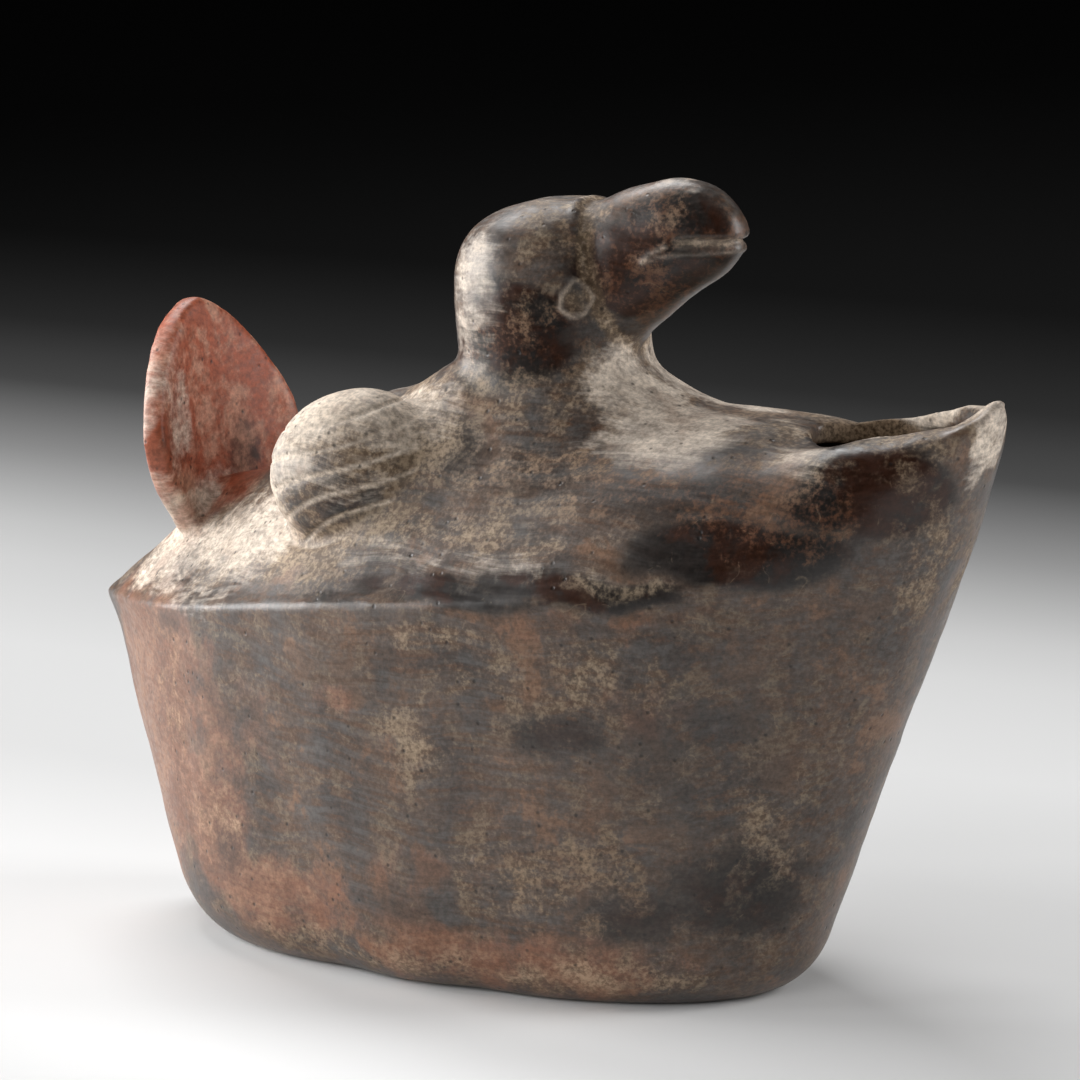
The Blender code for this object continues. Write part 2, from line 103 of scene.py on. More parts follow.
# The neck and head, as (centre x, z, radius), and the beak's ovals, as (top x, top z, bottom x,
# bottom z, half width).
HEAD_SECTIONS = ((20, 122, 24.7), (20, 138, 24.2), (19, 152, 24), (18.5, 160, 24.2), (18, 167, 24.5),
                 (18, 173, 24.5), (18, 179, 23.3), (18.6, 184, 21), (19.8, 188.2, 17),
                 (21.6, 191, 12), (22.6, 192.6, 6.8))
BEAK_SECTIONS = ((20, 184, 31, 154, 9.1), (27.5, 190.6, 40.2, 156, 12.7), (33, 193, 45.4, 160.3, 13),
                 (40, 195.7, 50.5, 164.5, 12.5), (47, 197.8, 55.5, 169, 11.6),
                 (54.5, 199.2, 61, 172.8, 10.4), (61.8, 198.5, 66, 176, 8.8),
                 (67.2, 195.6, 69.6, 179.2, 6.9), (71, 192, 72, 182.4, 4.7))

# The tail, and its half width at shares of its height.
TAIL_PLACE = Vector((-86.3, 0, 101))
TAIL_HEIGHT = 58.8
TAIL_WIDTH = 62.0
TAIL_CLAY = 6.5
TAIL_CUP = 6.0
TAIL_LEAN = 0.13
TAIL_OUTLINE = ((0, 0.5), (0.08, 0.6), (0.15, 0.72), (0.29, 0.91), (0.43, 1), (0.54, 0.95),
                (0.66, 0.82), (0.8, 0.61), (0.9, 0.4), (0.97, 0.18), (1, 0.03))

# The wings.
WING_SIZE = Vector((46, 34, 40))
WING_PLACE = Vector((-19.5, 31, 125.5))
WING_TOE_IN = math.radians(-14)
WING_TILT = math.radians(-22)
GROOVE_DEPTH = 0.5
# One groove for each step of the wing's half height, and a groove's half width.
GROOVE_STEP = 0.3
GROOVE_WIDTH = 0.55
# How far out the wing's rim lies, where the wing's middle is 0 and its outside about 1.
WING_RIM = 1.13


def smooth_curve(points):
    """A smooth curve through (place, value) pairs that never swings past them."""
    x, y = (np.array(column, float) for column in zip(*sorted(points)))
    step = np.diff(x)
    rise = np.diff(y) / step
    before, after = rise[:-1], rise[1:]
    turning = before * after <= 0
    total = np.where(turning, 1.0, before + after)
    slope = np.where(turning, 0.0, 2 * before * after / total)
    slope = np.concatenate([rise[:1], slope, rise[-1:]])

    def value(at):
        at = np.clip(np.asarray(at, float), x[0], x[-1])
        i = np.clip(np.searchsorted(x, at) - 1, 0, len(step) - 1)
        t = (at - x[i]) / step[i]
        rest = 1 - t
        ends = y[i] * (1 + 2 * t) * rest**2 + y[i + 1] * (1 + 2 * rest) * t**2
        return ends + step[i] * t * rest * (slope[i] * rest - slope[i + 1] * t)

    return value


def eased(curve, reach):
    """The same curve with its bends spread over a reach to each side."""
    return lambda at: sum(curve(np.asarray(at) + d) for d in np.linspace(-reach, reach, 9)) / 9


def ease_in(value, low, high):
    """From 0 at low to 1 at high, level at both."""
    share = np.clip((value - low) / (high - low), 0, 1)
    return share * share * (3 - 2 * share)


def between_sections(sections, count):
    """Many sections, read from smooth curves through a few."""
    places = np.arange(len(sections), dtype=float)
    columns = [smooth_curve(list(zip(places, column))) for column in zip(*sections)]
    wanted = np.linspace(0, len(sections) - 1, count)
    return np.stack([column(wanted) for column in columns], axis=1)


def polar_radius(outline):
    """The outline's distance from the origin, for each angle from the prow."""
    angles = [math.atan2(y, x) for x, y in outline]
    radii = [math.hypot(x, y) for x, y in outline]
    mirrored = [(-a, r) for a, r in zip(angles[1:4], radii[1:4])]
    past_rear = [(2 * math.pi - a, r) for a, r in zip(angles[-4:-1], radii[-4:-1])]
    return smooth_curve(mirrored + list(zip(angles, radii)) + past_rear)


shoulder_height = smooth_curve(SHOULDER_HEIGHT)
crest_height = smooth_curve(CREST_HEIGHT)
back_power = smooth_curve(BACK_POWER)
back_root = smooth_curve(BACK_ROOT)
prow_lean = smooth_curve(PROW_LEAN)
side_lean = smooth_curve(SIDE_LEAN)
rear_lean = smooth_curve(REAR_LEAN)
foot_radius = eased(polar_radius(FOOT_OUTLINE), FOOT_EASE)
shoulder_sharp = polar_radius(SHOULDER_OUTLINE)
shoulder_eased = eased(shoulder_sharp, SHOULDER_EASE)


def back_height(x, y, top, crest, q):
    """The back's height over a place in plan: its arch and the swells on it."""
    height = top + (crest - top) * (1 - q ** back_power(x)) ** back_root(x)
    for centre, (to_prow, to_side, to_rear), radius, run_out in SWELLS:
        away = np.hypot(x - centre[0], y - centre[1])
        along = (x - centre[0]) / np.maximum(away, 0.001)
        fore, aft = np.clip(along, 0, 1) ** 2, np.clip(-along, 0, 1) ** 2
        rise = fore * to_prow + aft * to_rear + (1 - fore - aft) * to_side
        share = np.clip(1 - np.maximum(away - radius, 0) / run_out, 0, 1)
        height = height + rise * share**1.6 * (1 - q**4)
    return height


def lean_out(angle, share):
    """The wall's share of the overhang, blended from the prow, the sides and the rear."""
    front = np.clip(np.cos(angle), 0, 1) ** 2
    rear = np.clip(-np.cos(angle), 0, 1) ** 2
    sides = 1 - front - rear
    return front * prow_lean(share) + sides * side_lean(share) + rear * rear_lean(share)


def body_rings(inset=0.0, floor=-BELOW_GROUND, tip_clay=0.0):
    """Rings of the body from its underside up the wall and over the back."""
    angle = 2 * math.pi * np.arange(STATIONS_ROUND) / STATIONS_ROUND
    folded = np.minimum(angle, 2 * math.pi - angle)
    side = np.where(angle <= math.pi, 1.0, -1.0)
    foot = foot_radius(folded) - inset
    at_tip = ease_in(folded / math.pi, TIP_FROM, TIP_TO)
    shoulder = shoulder_sharp(folded) * at_tip + shoulder_eased(folded) * (1 - at_tip)
    shoulder = shoulder - inset - tip_clay * at_tip
    shoulder_x, shoulder_y = shoulder * np.cos(folded), shoulder * np.sin(folded)
    top = shoulder_height(shoulder_x)
    crest = np.maximum(crest_height(shoulder_x), top + BACK_SHARE * inset)
    rings = []
    if floor < 0:
        under = foot - FOOT_EDGE_RUN
        rings.append(np.stack([under * np.cos(folded), side * under * np.sin(folded),
                               np.full_like(foot, floor)], axis=1))
        floor = 0
    for share in np.linspace(0, 1, 56) ** 2:
        z = floor + (top - floor) * share
        below = np.clip(1 - (z - floor) / FOOT_EDGE_RISE, 0, 1)
        rounding = FOOT_EDGE_RUN * (1 - np.sqrt(1 - below**2))
        reach = foot + (shoulder - foot) * lean_out(folded, z / top) - rounding
        rings.append(np.stack([reach * np.cos(folded), side * reach * np.sin(folded), z], axis=1))
    prow = PROW_SLOPE * ease_in(shoulder_x, PROW_FROM, PROW_TO)
    for q in np.sin(np.linspace(0.5 * math.pi, 0, 42)[1:]):
        across = side * q * shoulder_y
        height = back_height(shoulder_x, across, top, crest, q)
        height = np.maximum(height - BACK_SHARE * inset * (1 - q**4), top)
        rings.append(np.stack([shoulder_x + prow * (height - top), across, height], axis=1))
    return rings


def new_object(name, clay):
    mesh = bpy.data.meshes.new(name)
    clay.to_mesh(mesh)
    clay.free()
    made = bpy.data.objects.new(name, mesh)
    bpy.context.scene.collection.objects.link(made)
    return made


def loft(name, rings):
    """Extrudes the first ring's edges from section to section, and closes both ends."""
    clay = bmesh.new()
    station = clay.verts.layers.int.new("station")
    first = bmesh.ops.create_circle(clay, cap_ends=True, segments=len(rings[0]), radius=1.0)
    for i, vert in enumerate(first["verts"]):
        vert[station] = i
        vert.co = Vector(rings[0][i]) * MM
    edges = list(clay.edges)
    for ring in rings[1:]:
        grown = bmesh.ops.extrude_edge_only(clay, edges=edges)["geom"]
        edges = [part for part in grown if isinstance(part, bmesh.types.BMEdge) and part.is_boundary]
        for vert in grown:
            if isinstance(vert, bmesh.types.BMVert):
                vert.co = Vector(ring[vert[station]]) * MM
    bmesh.ops.contextual_create(clay, geom=edges)
    bmesh.ops.remove_doubles(clay, verts=clay.verts, dist=0.00002)
    bmesh.ops.triangulate(clay, faces=clay.faces)
    bmesh.ops.recalc_face_normals(clay, faces=clay.faces)
    return new_object(name, clay)


def head_rings(shrink=0.0):
    """Rings up the neck and over the crown, or the hollow inside them."""
    around = 2 * math.pi * np.arange(96) / 96
    rings = []
    for x, z, radius in between_sections(HEAD_SECTIONS, 34):
        radius = max(radius - shrink, 0.5)
        rings.append(np.stack([x + radius * np.cos(around), radius * np.sin(around),
                               np.full_like(around, z - shrink)], axis=1))
    return rings


def beak_rings():
    """Leaning ovals from inside the head to the tip."""
    around = 2 * math.pi * np.arange(80) / 80
    rise = (1 + np.sin(around)) / 2
    rings = []
    for top_x, top_z, low_x, low_z, half_width in between_sections(BEAK_SECTIONS, 40):
        rings.append(np.stack([low_x + (top_x - low_x) * rise, half_width * np.cos(around),
                               low_z + (top_z - low_z) * rise], axis=1))
    tip = rings[-1].mean(axis=0)
    rings.append(tip + (rings[-1] - tip) * 0.35 + (1.2, 0, 0))
    return rings


def mouth_rings():
    """The mouth's outline, leaning as the prow leans, from inside the cavity upwards."""
    half_width = smooth_curve(MOUTH_OUTLINE)
    shares = (1 + np.cos(np.linspace(0, math.pi, 49))) / 2
    near = [(s, half_width(s)) for s in shares]
    far = [(s, -w) for s, w in reversed(near[1:-1])]
    front_x, _, front_z = MOUTH_PLACE
    rings = []
    for rise in (-0.45 * MOUTH_CUT, 0.0, 0.55 * MOUTH_CUT):
        rings.append([(front_x - MOUTH_LENGTH * (1 - s) + PROW_SLOPE * rise * s,
                       MOUTH_WIDTH / 2 * w, front_z + rise) for s, w in near + far])
    return rings


def wing_frame(side):
    """From a wing's own axes, in halves of its size, to the vessel's, in millimetres."""
    centre = Vector((WING_PLACE.x, side * WING_PLACE.y, WING_PLACE.z))
    turned = Matrix.Rotation(side * WING_TOE_IN, 4, "Z") @ Matrix.Rotation(WING_TILT, 4, "Y")
    return Matrix.Translation(centre) @ turned @ Matrix.Diagonal((*(WING_SIZE / 2), 1))


def wing(side):
    bulb = bmesh.new()
    bmesh.ops.create_uvsphere(bulb, u_segments=96, v_segments=64, radius=1.0)
    bmesh.ops.transform(bulb, matrix=Matrix.Diagonal((MM, MM, MM, 1)) @ wing_frame(side), verts=bulb.verts)
    return new_object("wing", bulb)


def tail():
    """A leaf that stands across the vessel, cupped towards the head."""
    leaf = bmesh.new()
    bmesh.ops.create_grid(leaf, x_segments=36, y_segments=40, size=1.0)
    outline = smooth_curve(TAIL_OUTLINE)
    for vert in leaf.verts:
        up = 1 - (0.5 - vert.co.y / 2) ** 1.3
        across = vert.co.x * TAIL_WIDTH / 2 * float(outline(up))
        back = TAIL_CUP * (2 * across / TAIL_WIDTH) ** 2 - TAIL_LEAN * up * TAIL_HEIGHT
        vert.co = (TAIL_PLACE + Vector((back, across, up * TAIL_HEIGHT))) * MM
    bmesh.ops.remove_doubles(leaf, verts=leaf.verts, dist=0.00002)
    bmesh.ops.recalc_face_normals(leaf, faces=leaf.faces)
    made = new_object("tail", leaf)
    thick = made.modifiers.new("clay", "SOLIDIFY")
    thick.thickness = TAIL_CLAY * MM
    thick.offset = 0.0
    return made


def ground():
    box = bmesh.new()
    bmesh.ops.create_cube(box, size=0.6)
    bmesh.ops.translate(box, verts=box.verts, vec=(0, 0, -0.3))
    return new_object("ground", box)


def shaped(target, other, operation):
    step = target.modifiers.new(operation.lower(), "BOOLEAN")
    step.operation = operation
    step.solver = "MANIFOLD"
    step.object = other


def applied(target):
    """The object with its modifiers made part of its mesh."""
    graph = bpy.context.evaluated_depsgraph_get()
    mesh = bpy.data.meshes.new_from_object(target.evaluated_get(graph))
    target.modifiers.clear()
    target.data = mesh


def raw_vessel():
    """The whole vessel as an even, fine mesh with softened edges."""
    vessel = loft("parrot_vessel_clay", body_rings())
    joined = [loft("neck_and_head", head_rings()), loft("beak", beak_rings()), tail(), wing(1), wing(-1)]
    cavity = loft("cavity", body_rings(WALL, FLOOR, REAR_TIP_CLAY))
    cutters = [cavity, loft("head_hollow", head_rings(HEAD_WALL)), loft("mouth", mouth_rings()), ground()]
    for piece in joined:
        shaped(vessel, piece, "UNION")
    for piece in cutters:
        shaped(vessel, piece, "DIFFERENCE")
    applied(vessel)
    for piece in joined + cutters:
        bpy.data.objects.remove(piece)
    even = vessel.modifiers.new("even surface", "REMESH")
    even.mode = "VOXEL"
    even.voxel_size = GRAIN * MM
    soft = vessel.modifiers.new("soft edges", "SMOOTH")
    soft.factor = 0.5
    soft.iterations = round((EDGE_SOFTNESS / GRAIN) ** 2 * 3)
    applied(vessel)
    return vessel


def hand_marks(places, length, count, seed):
    """Smooth unevenness between about -1 and 1, with bumps of about this length in millimetres."""
    chance = np.random.default_rng(seed)
    total = np.zeros(len(places))
    for _ in range(count):
        direction = chance.normal(size=3)
        direction *= 2 * math.pi / (length * chance.uniform(0.7, 1.6)) / np.linalg.norm(direction)
        total += np.sin(places @ direction + chance.uniform(0, 2 * math.pi))
    return total / math.sqrt(count)


def ridge(distance, width):
    """A smooth bump across a line: 1 on it, and 0 from about two widths away."""
    return np.exp(-((distance / width) ** 2))


def spot(places, centre, width):
    """A smooth bump at a point: 1 there, and 0 from about two widths away."""
    return ridge(np.linalg.norm(places - np.array(centre), axis=1), width)


def to_line(places, points):
    """Each place's distance from a chain of points, and how far along the chain it lies, 0 to 1."""
    points = np.array(points, float)
    best = np.full(len(places), 1e9)
    along = np.zeros(len(places))
    lengths = np.linalg.norm(np.diff(points, axis=0), axis=1)
    done = 0.0
    for start, end, length in zip(points, points[1:], lengths):
        share = np.clip((places - start) @ (end - start) / length**2, 0, 1)
        away = np.linalg.norm(places - (start + share[:, None] * (end - start)), axis=1)
        nearer = away < best
        best = np.where(nearer, away, best)
        along = np.where(nearer, (done + share * length) / lengths.sum(), along)
        done += length
    return best, along


def flat(places, direction):
    """The places with their reach along a direction taken out."""
    direction = np.array(direction, float) / np.linalg.norm(direction)
    places = np.asarray(places, float)
    return places - np.outer(places @ direction, direction)


def within(places, centre, radii):
    """A soft patch: 1 at its centre, fading out at its radii."""
    off = (places - np.array(centre, float)) / np.array(radii, float)
    return np.clip(1 - (off**2).sum(axis=1), 0, 1) ** 0.8


def wing_lines(places, side):
    """How much each place lies in a wing's grooves, and how far out from the wing's middle it is."""
    inverse = np.array(wing_frame(side).inverted())
    local = places @ inverse[:3, :3].T + inverse[:3, 3]
    radius = np.linalg.norm(local, axis=1)
    along, up = local[:, 0], local[:, 2]
    level = (up + 0.05 * np.sin(3.4 * along + 2 * up) + 0.07 * along * along) / (1 - 0.16 * along)
    off = np.abs((level / GROOVE_STEP + 0.1) % 1 - 0.5) * GROOVE_STEP * WING_SIZE.z / 2
    steep = np.sqrt(np.clip(1 - up**2, 0.05, 1))
    on_wing = ease_in(radius, WING_RIM, 1.04) * ease_in(radius, 0.86, 0.94)
    ends = ease_in(along, -1.02, -0.72) * ease_in(along, 0.98, 0.7) * ease_in(up, 0.97, 0.7)
    return ridge(off / steep, GROOVE_WIDTH) * on_wing * ends, radius


def mesh_arrays(mesh):
    """Every vertex's place, in millimetres, and normal."""
    places = np.empty(3 * len(mesh.vertices), np.float32)
    mesh.vertices.foreach_get("co", places)
    normals = np.empty(3 * len(mesh.vertices), np.float32)
    mesh.vertex_normals.foreach_get("vector", normals)
    return places.reshape(-1, 3).astype(float) / MM, normals.reshape(-1, 3).astype(float)


def keep_mask(mesh, name, values):
    """A named mask on the mesh, from 0 to 1, for the material to read."""
    layer = mesh.attributes.new(name, "FLOAT", "POINT")
    layer.data.foreach_set("value", np.clip(values, 0, 1).astype(np.float32))


def hollows(mesh, places, normals, rounds):
    """How far each place lies below its surroundings, in millimetres."""
    edges = np.empty(2 * len(mesh.edges), np.int32)
    mesh.edges.foreach_get("vertices", edges)
    a, b = edges.reshape(-1, 2).T
    count = np.maximum(np.bincount(a, minlength=len(places)) + np.bincount(b, minlength=len(places)), 1)
    spread = places.copy()
    for _ in range(rounds):
        around = np.empty_like(spread)
        for axis in range(3):
            column = spread[:, axis]
            around[:, axis] = (np.bincount(a, column[b], len(places))
                               + np.bincount(b, column[a], len(places))) / count
        spread = 0.5 * spread + 0.5 * around
    return np.einsum("ij,ij->i", spread - places, normals)


def soften(vessel, centres, rounds):
    """Smooths the clay within soft regions."""
    places, _ = mesh_arrays(vessel.data)
    share = np.zeros(len(places))
    for centre, radii in centres:
        share = np.maximum(share, np.clip(1.7 * within(places, centre, radii), 0, 1))
    group = vessel.vertex_groups.new(name="softened")
    level = np.round(share * 8).astype(int)
    for step in range(1, 9):
        group.add(np.flatnonzero(level == step).tolist(), step / 8, "REPLACE")
    smooth = vessel.modifiers.new("softened", "SMOOTH")
    smooth.vertex_group = group.name
    smooth.factor = 0.5
    smooth.iterations = rounds
    applied(vessel)
    vessel.vertex_groups.clear()


# Where the joins and edges were smoothed by hand, as (centre, radii): round the neck's root and the
# wings' front ends, and at the tail's edges and the body's rear tip, with the rounds of smoothing.
NECK_ROOT = (((31, 0, 149), (38, 40, 19)), ((6, 28, 142), (20, 16, 12)), ((6, -28, 142), (20, 16, 12)))
EDGES = (((-90, 0, 134), (26, 46, 42)), ((-122, 0, 79), (9, 14, 8)))
NECK_ROUNDS = 130
EDGE_ROUNDS = 40

# The eye's drop-shaped ring, the crevice between the beak's halves with its lips and hook, and the
# seam and lip where the crown meets the beak, as chains of points on the near side, with the ways
# that the eye and the beak's side look.
EYE_RING = ((36, -18, 175.2), (38.4, -16, 173.2), (39.4, -14.6, 170.5), (37.6, -16.2, 166.8),
            (35.2, -18.8, 166.2), (33.2, -20.3, 168.4), (33.6, -20, 171.6), (36, -18, 175.2))
EYE_CENTRE = (36.4, -17.6, 170.8)
EYE_LOOKS = (0.72, -0.69, 0)
BEAK_SIDE = (0.35, -0.93, 0)
BEAK_CREVICE = ((73.5, 0, 185.2), (70, -5.6, 184.9), (64, -8.6, 185), (57.5, -10.6, 184.6))
UPPER_LIP = ((72, -3, 187.2), (68, -7, 187.3), (63, -9.2, 187.2), (58, -10.6, 186.6))
LOWER_LIP = ((73, -1, 183), (69, -6, 182.6), (62, -9.6, 182.2), (55, -11.8, 181.2), (51, -12.5, 179.6))
LIP_HOOK = ((57, -11.2, 183.8), (53.5, -12, 182), (51, -12.6, 179.6))
CROWN_SEAM = ((30, 0, 193), (31.5, -8, 191), (34.5, -12.5, 186), (37, -14.5, 180), (39, -14.4, 174),
              (41, -13, 168), (42.4, -10, 162), (43, -5, 157.5), (43.6, 0, 156))
CROWN_LIP = ((27.5, 0, 193), (28.5, -7, 191.6), (31.6, -12, 187), (34, -14.5, 181.5))
TAIL_HOLE = (-81, -7, 110)
WING_PITS = ((-14, -46, 135), (-2, -42, 136))
# The reach round the eye's middle in which its ring is drawn, the x that the beak's lines start from,
# and a distance that keeps a line from showing anywhere else.
EYE_REACH = (11, 11, 14)
BEAK_FROM = 46
FAR_OFF = 99
# Dents and the notch in the mouth's rim, as (place, width, depth). A depth below 0 is a rise.
DENTS = (((20, -53, 60), 12, 0.5), ((95, -38, 70), 12, 0.5), ((-70, -38, 50), 9, 0.4),
         ((45, 52, 60), 10, 0.5), ((-40, 48, 60), 9, 0.4), ((100, 20, 60), 9, 0.4),
         ((-96, 10, 60), 8, 0.4), ((-15, 10, 147), 12, 3.2), ((107, -24, 138), 8, -1.0),
         ((141.5, 0, 151), 2.6, -0.8), ((138, 2.5, 151), 1.6, 1.2))
# The far wing sits a little further back than the near one.
FAR_WING = ((-20, 31, 138), (30, 22, 18))
FAR_WING_BACK = 2.5
# How far the mouth's near and far lips stray up or down, as (x, millimetres).
NEAR_LIP = smooth_curve(((97, 0), (106, 0.9), (112, 1.6), (117, 0.7), (122, -1), (128, -2.8), (134, -3.8),
                         (138, -3.2), (142, -1.4)))
FAR_LIP = smooth_curve(((97, 0), (103, 1.2), (109, 1.7), (116, 1.9), (124, 1.1), (129, 0.3), (134, -1),
                        (138, -1.8), (142, -1.4)))
LIPS_FROM = 97


def carve(vessel):
    """Moves the clay's surface for the mouth's lips, wings, eyes, beak, dents and hand marks."""
    mesh = vessel.data
    places, normals = mesh_arrays(mesh)
    near_side = np.stack([places[:, 0], -np.abs(places[:, 1]), places[:, 2]], axis=1)
    x, y, z = places.T
    outside = outer_share(places)
    depth = 0.26 * hand_marks(places, 34, 14, 3) + 0.08 * hand_marks(places, 11, 16, 5)
    depth = (depth + 0.025 * hand_marks(places, 4.5, 24, 9)) * outside * ease_in(z, 1, 24)
    cut = np.zeros(len(places))
    for side in (1, -1):
        groove, radius = wing_lines(places, side)
        depth -= GROOVE_DEPTH * groove
        rear = ease_in(x, -8, -24) * ease_in(z, 132, 122)
        rim = ridge((radius - WING_RIM) * 20, 0.9) * rear * (y * side > 0)
        depth -= 0.55 * rim
        cut = np.maximum(cut, np.maximum(groove, 0.7 * rim))
    by_eye = within(near_side, EYE_CENTRE, EYE_REACH) > 0
    ring, _ = to_line(flat(near_side, EYE_LOOKS), flat(EYE_RING, EYE_LOOKS))
    ring = np.where(by_eye, ring, FAR_OFF)
    depth += 0.6 * ridge(ring, 0.62) - 0.35 * spot(near_side, EYE_CENTRE, 2.6)
    beak = flat(near_side, BEAK_SIDE) + np.where(x > BEAK_FROM, 0, FAR_OFF)[:, None]
    crevice, along = to_line(beak, flat(BEAK_CREVICE, BEAK_SIDE))
    open_part = 1 - ease_in(along, 0.82, 1)
    depth -= 1.8 * ridge(crevice, 0.5 + 0.55 * np.sin(math.pi * np.clip(along, 0, 1))) * open_part
    upper, lower, hook = (to_line(beak, flat(line, BEAK_SIDE))[0]
                          for line in (UPPER_LIP, LOWER_LIP, LIP_HOOK))
    depth += 0.2 * ridge(upper, 0.7) + 0.35 * ridge(lower, 0.7) + 0.35 * ridge(hook, 0.6)
    seam, _ = to_line(near_side, CROWN_SEAM)
    lip, _ = to_line(near_side, CROWN_LIP)
    depth += 0.6 * ridge(lip, 1.5) - 0.3 * ridge(seam, 1.0)
    depth -= 2.4 * spot(places, TAIL_HOLE, 1.0)
    for centre in WING_PITS:
        depth -= 0.7 * spot(places, centre, 0.8)
    for centre, width, deep in DENTS:
        depth -= deep * spot(places, centre, width)
    under = ease_in(z, 0.5, 3)
    lips = (FAR_LIP(x) * ease_in(y, -2, 6) + NEAR_LIP(x) * ease_in(-y, -2, 6)) * (x > LIPS_FROM)
    places = places + normals * (depth * under)[:, None]
    places[:, 2] += lips * ease_in(z, 124, 140)
    places[:, 0] -= FAR_WING_BACK * within(places, *FAR_WING)
    mesh.vertices.foreach_set("co", (places * MM).astype(np.float32).ravel())
    mesh.update()
    cut = np.maximum.reduce([cut, 0.8 * ridge(ring, 0.55), 0.5 * ridge(crevice, 1.4) * open_part,
                             0.4 * ridge(lower, 0.5), 0.6 * ridge(hook, 0.5)])
    keep_mask(mesh, "carved", cut)
    keep_mask(mesh, "hollow", 0.5 + hollows(mesh, places, normals, 24) / 0.5)


# Where the fine mesh is kept whole.
FINE_PLACES = (((42, 0, 178), (46, 30, 34)), ((-16, -36, 126), (34, 22, 28)),
               ((-16, 36, 126), (34, 22, 28)), ((124, 0, 148), (34, 24, 14)))


def thin_out(vessel):
    """Fewer triangles, first where the clay is plain."""
    places, _ = mesh_arrays(vessel.data)
    plain = np.ones(len(places))
    for centre, radii in FINE_PLACES:
        plain = np.minimum(plain, 1 - np.clip(2.5 * within(places, centre, radii), 0, 1))
    plain = np.where(outer_share(places) > 0.5, plain, 1)
    group = vessel.vertex_groups.new(name="plain clay")
    level = np.round(plain * 5).astype(int)
    for step in range(6):
        group.add(np.flatnonzero(level == step).tolist(), step / 5, "REPLACE")
    fewer = vessel.modifiers.new("fewer faces", "DECIMATE")
    fewer.ratio = MOST_TRIANGLES / (2 * len(vessel.data.polygons))
    fewer.vertex_group = group.name
    fewer.vertex_group_factor = 0.002
    applied(vessel)
    vessel.vertex_groups.clear()


def outer_share(places):
    """1 on the outside of the clay, and 0 on the cavity's walls."""
    x, y, z = places.T
    angle = np.abs(np.arctan2(y, x))
    radius = np.hypot(x, y)
    at_tip = ease_in(angle / math.pi, TIP_FROM, TIP_TO)
    shoulder = shoulder_sharp(angle) * at_tip + shoulder_eased(angle) * (1 - at_tip)
    top = shoulder_height(shoulder * np.cos(angle))
    below = np.clip(1 - z / FOOT_EDGE_RISE, 0, 1)
    rounding = FOOT_EDGE_RUN * (1 - np.sqrt(1 - below**2))
    foot = foot_radius(angle)
    share = np.clip(z / top, 0, 1)
    wall = foot + (shoulder - foot) * lean_out(angle, share) - rounding
    inner = (radius < wall - 0.55 * WALL) & (z < top) & (z > 0.5 * FLOOR)
    q = np.clip(radius / shoulder, 0, 1)
    crest = np.maximum(crest_height(x), top)
    roof = back_height(x, y, shoulder_height(x), crest, q)
    inner |= (z >= top) & (z < roof - 0.55 * BACK_SHARE * WALL) & (radius < shoulder - 2)
    return np.where(inner, 0.0, 1.0)


# Where each finish lies, as (centre, radii, how much) on the near side. The far side has the same
# places a little further back.
RED_PATCHES = (
    ((-80, -30, 50), (30, 40, 46), 1.1), ((-66, -36, 76), (18, 30, 16), 0.95),
    ((-60, -42, 40), (28, 30, 32), 0.85), ((-95, -10, 60), (30, 30, 40), 1.0),
    ((-40, -48, 18), (52, 30, 16), 0.75), ((40, -45, 11), (64, 30, 13), 0.6),
    ((76, -46, 80), (12, 20, 10), 0.5), ((-10, -56, 72), (8, 12, 5), 0.6),
    ((-50, -50, 60), (30, 20, 24), 0.4), ((-79, -20, 90), (26, 26, 9), 0.5),
    ((60, -50, 98), (30, 18, 8), 0.35), ((20, -54, 92), (22, 18, 6), 0.35),
    ((10, -50, 30), (40, 20, 16), 0.3),
)
BRICK_PATCHES = (((-88, 0, 132), (24, 46, 42), 1.6),)
DARK_PATCHES = (
    ((22, -20, 164), (19, 24, 17), 1.5), ((16, -24, 157), (19, 18, 12), 1.3),
    ((50, -12, 173), (15, 12, 11), 1.6), ((60, -8, 187), (22, 14, 14), 1.2),
    ((46, -12, 180), (18, 12, 12), 1.3), ((122, -22, 132), (26, 24, 15), 1.4),
    # The thin patches here and below at z 99 to 107 paint a dark band along the shoulder's edge.
    ((96, -40, 117), (38, 20, 10), 1.4), ((60, -54, 107), (38, 16, 5), 1.3),
    ((20, -57, 103.5), (40, 14, 4), 1.1), ((56, -6, 176), (20, 10, 10), 1.0),
    ((18, -20, 178), (16, 14, 12), 0.6), ((-15, -56, 99), (24, 12, 3.5), 0.8),
    ((40, -36, 130), (34, 24, 14), 0.5), ((12, -36, 134), (16, 16, 14), 0.7),
    ((76, -34, 126), (34, 20, 12), 0.65), ((-84, 10, 120), (9, 9, 12), 0.85),
    ((55, -52, 72), (22, 16, 9), 0.75), ((88, -42, 66), (34, 26, 38), 0.6),
    ((95, -28, 30), (30, 26, 24), 0.9), ((70, -40, 26), (24, 20, 12), 0.75),
    ((-45, -50, 68), (16, 16, 16), 0.45), ((0, -57, 80), (34, 14, 10), 0.38),
    ((-70, -38, 82), (14, 16, 7), 0.45), ((-50, -44, 28), (22, 16, 12), 0.42),
    ((20, -50, 36), (30, 16, 16), 0.3), ((-8, -46, 116), (22, 14, 9), 0.5),
    ((10, -54, 22), (22, 14, 6), 0.5), ((118, -14, 104), (16, 18, 16), 0.45),
    ((-10, -46, 121), (18, 12, 9), 0.85),
)
